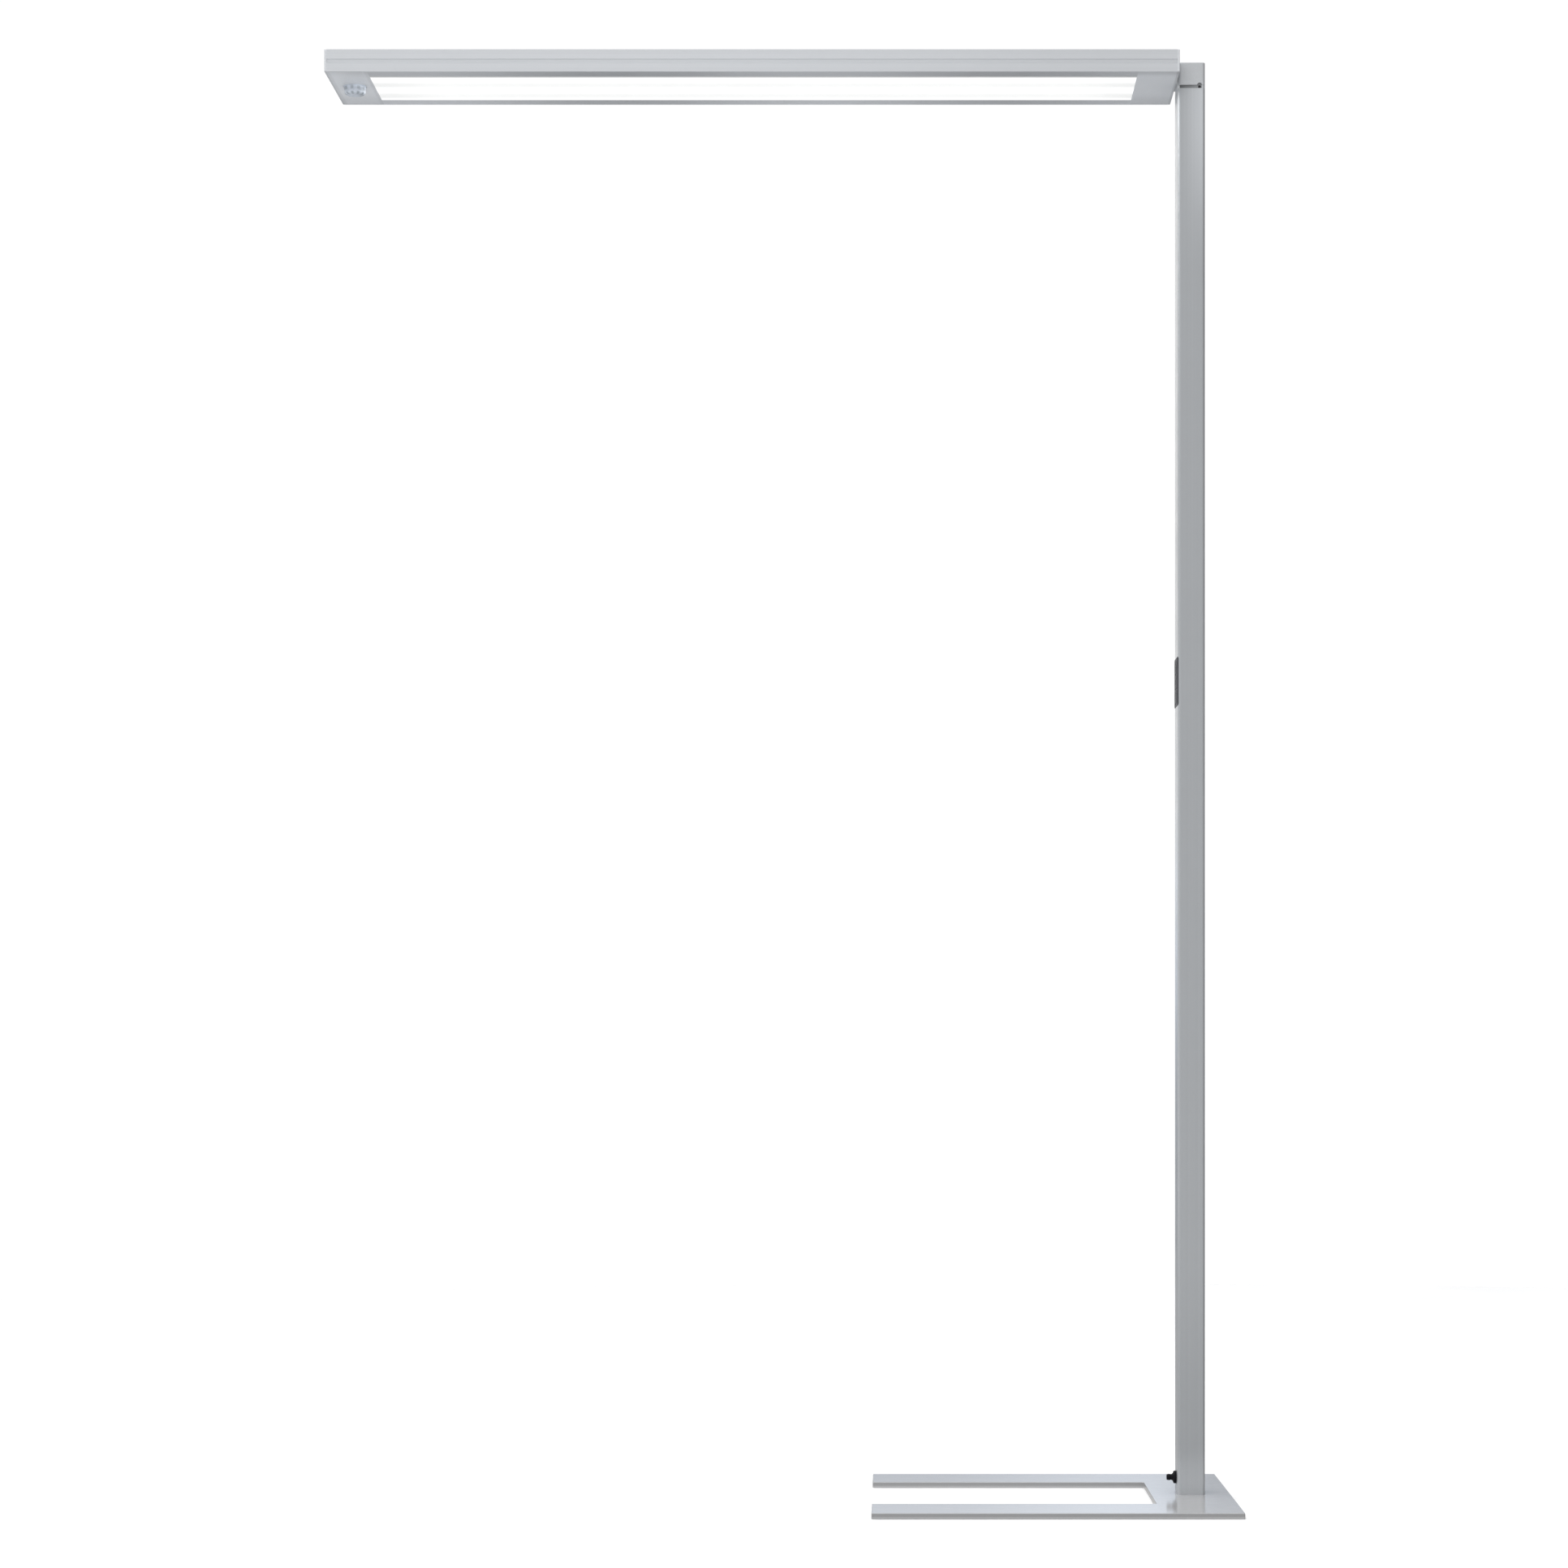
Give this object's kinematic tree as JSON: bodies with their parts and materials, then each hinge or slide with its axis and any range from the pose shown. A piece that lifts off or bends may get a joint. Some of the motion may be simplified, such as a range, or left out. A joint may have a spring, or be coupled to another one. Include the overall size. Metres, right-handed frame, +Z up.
{
  "type": "office floor lamp",
  "caption": "Free-standing office floor lamp with a U-shaped steel base plate, a rectangular mast and a flat one-sided head that turns on the mast.",
  "frame": {"origin": "on the floor, on the mast's vertical axis, which is the head's turning axis", "axes": "+Z up the mast; -X along the head and the base's open end; +Y to the rear, where the mast's fixing screws are"},
  "size_m": [1.2187, 0.474, 1.949],
  "materials": {
    "base_coat": "silver powder coat, fine texture, satin",
    "anodised": "natural anodised extrusion, satin",
    "cap_coat": "die-cast aluminium, silver lacquer, satin",
    "steel": "zinc-plated steel, satin",
    "black_steel": "black-oxide steel, satin",
    "bright_steel": "ground steel, satin",
    "bearing": "natural grey bearing polymer, satin",
    "rubber": "black rubber, matte",
    "black_plastic": "black nylon, matte",
    "key_plastic": "charcoal grey keys, soft matte",
    "bezel_plastic": "charcoal grey moulding, satin",
    "white_plastic": "white moulding, matte",
    "opal": "opal acrylic, satin",
    "lens_plastic": "milky bluish lens plastic, satin",
    "board": "white circuit board, satin",
    "green_board": "green circuit board, satin",
    "copper_lead": "grey sheathed lead, matte"
  },
  "bodies": {
    "stand": {"base_plate": "base_coat", "centre_pad": "rubber", "glide_pads": "rubber", "mast_tube": "anodised", "foot_block": "steel", "foot_screws": "steel", "mast_lock_screws": "steel", "cord_gland": "black_plastic", "gland_nut": "black_plastic", "cord_grip": "black_plastic", "cord_grip_screws": "steel", "mains_terminal": "white_plastic", "driver_carrier": "steel", "carrier_screws": "steel", "led_driver": "white_plastic", "mast_lead": "copper_lead", "control_lead": "copper_lead", "control_housing": "bezel_plastic", "control_board": "green_board", "tact_switches": "black_plastic", "control_back": "black_plastic", "top_bearing_block": "cap_coat", "top_block_screws": "steel", "swivel_bush": "bearing", "friction_washer": "bearing", "stop_pin": "black_steel", "thrust_washer": "bearing", "swivel_spacer": "cap_coat", "spacer_screw": "black_steel"},
    "head": {"pivot_tube": "bright_steel", "pivot_nuts": "steel", "swivel_cap": "anodised", "cap_lid": "anodised", "arm_bar": "bright_steel", "arm_bar_screws": "black_steel", "neck_collar": "cap_coat", "mounting_bridge": "steel", "bridge_bar_screws": "black_steel", "bridge_profile_screws": "steel", "front_profile": "anodised", "rear_profile": "anodised", "top_cover": "anodised", "left_end_cap": "cap_coat", "right_end_cap": "cap_coat", "end_cap_screws": "steel", "diffuser": "opal", "light_box_ends": "white_plastic", "led_tray": "anodised", "tray_screws": "steel", "led_boards": "board", "head_terminal": "white_plastic", "head_lead": "copper_lead", "sensor_bezel": "cap_coat", "sensor_lens": "lens_plastic", "sensor_board": "green_board", "sensor_element": "bright_steel"},
    "key_power": {"key_power": "key_plastic"},
    "key_brighter": {"key_brighter": "key_plastic"},
    "key_dimmer": {"key_dimmer": "key_plastic"}
  },
  "joints": [
    {"name": "head_swivel", "type": "hinge", "parent": "stand", "child": "head", "pos_m": [0, 0, 1.915], "axis": [0, 0, 1], "range_deg": [-90, 90]},
    {"name": "key_power_press", "type": "slide", "parent": "stand", "child": "key_power", "axis": [1, 0, 0], "range_m": [0, 0.0008], "stiffness_N_per_m": 1200},
    {"name": "key_brighter_press", "type": "slide", "parent": "stand", "child": "key_brighter", "axis": [1, 0, 0], "range_m": [0, 0.0008], "stiffness_N_per_m": 1200},
    {"name": "key_dimmer_press", "type": "slide", "parent": "stand", "child": "key_dimmer", "axis": [1, 0, 0], "range_m": [0, 0.0008], "stiffness_N_per_m": 1200}
  ]
}
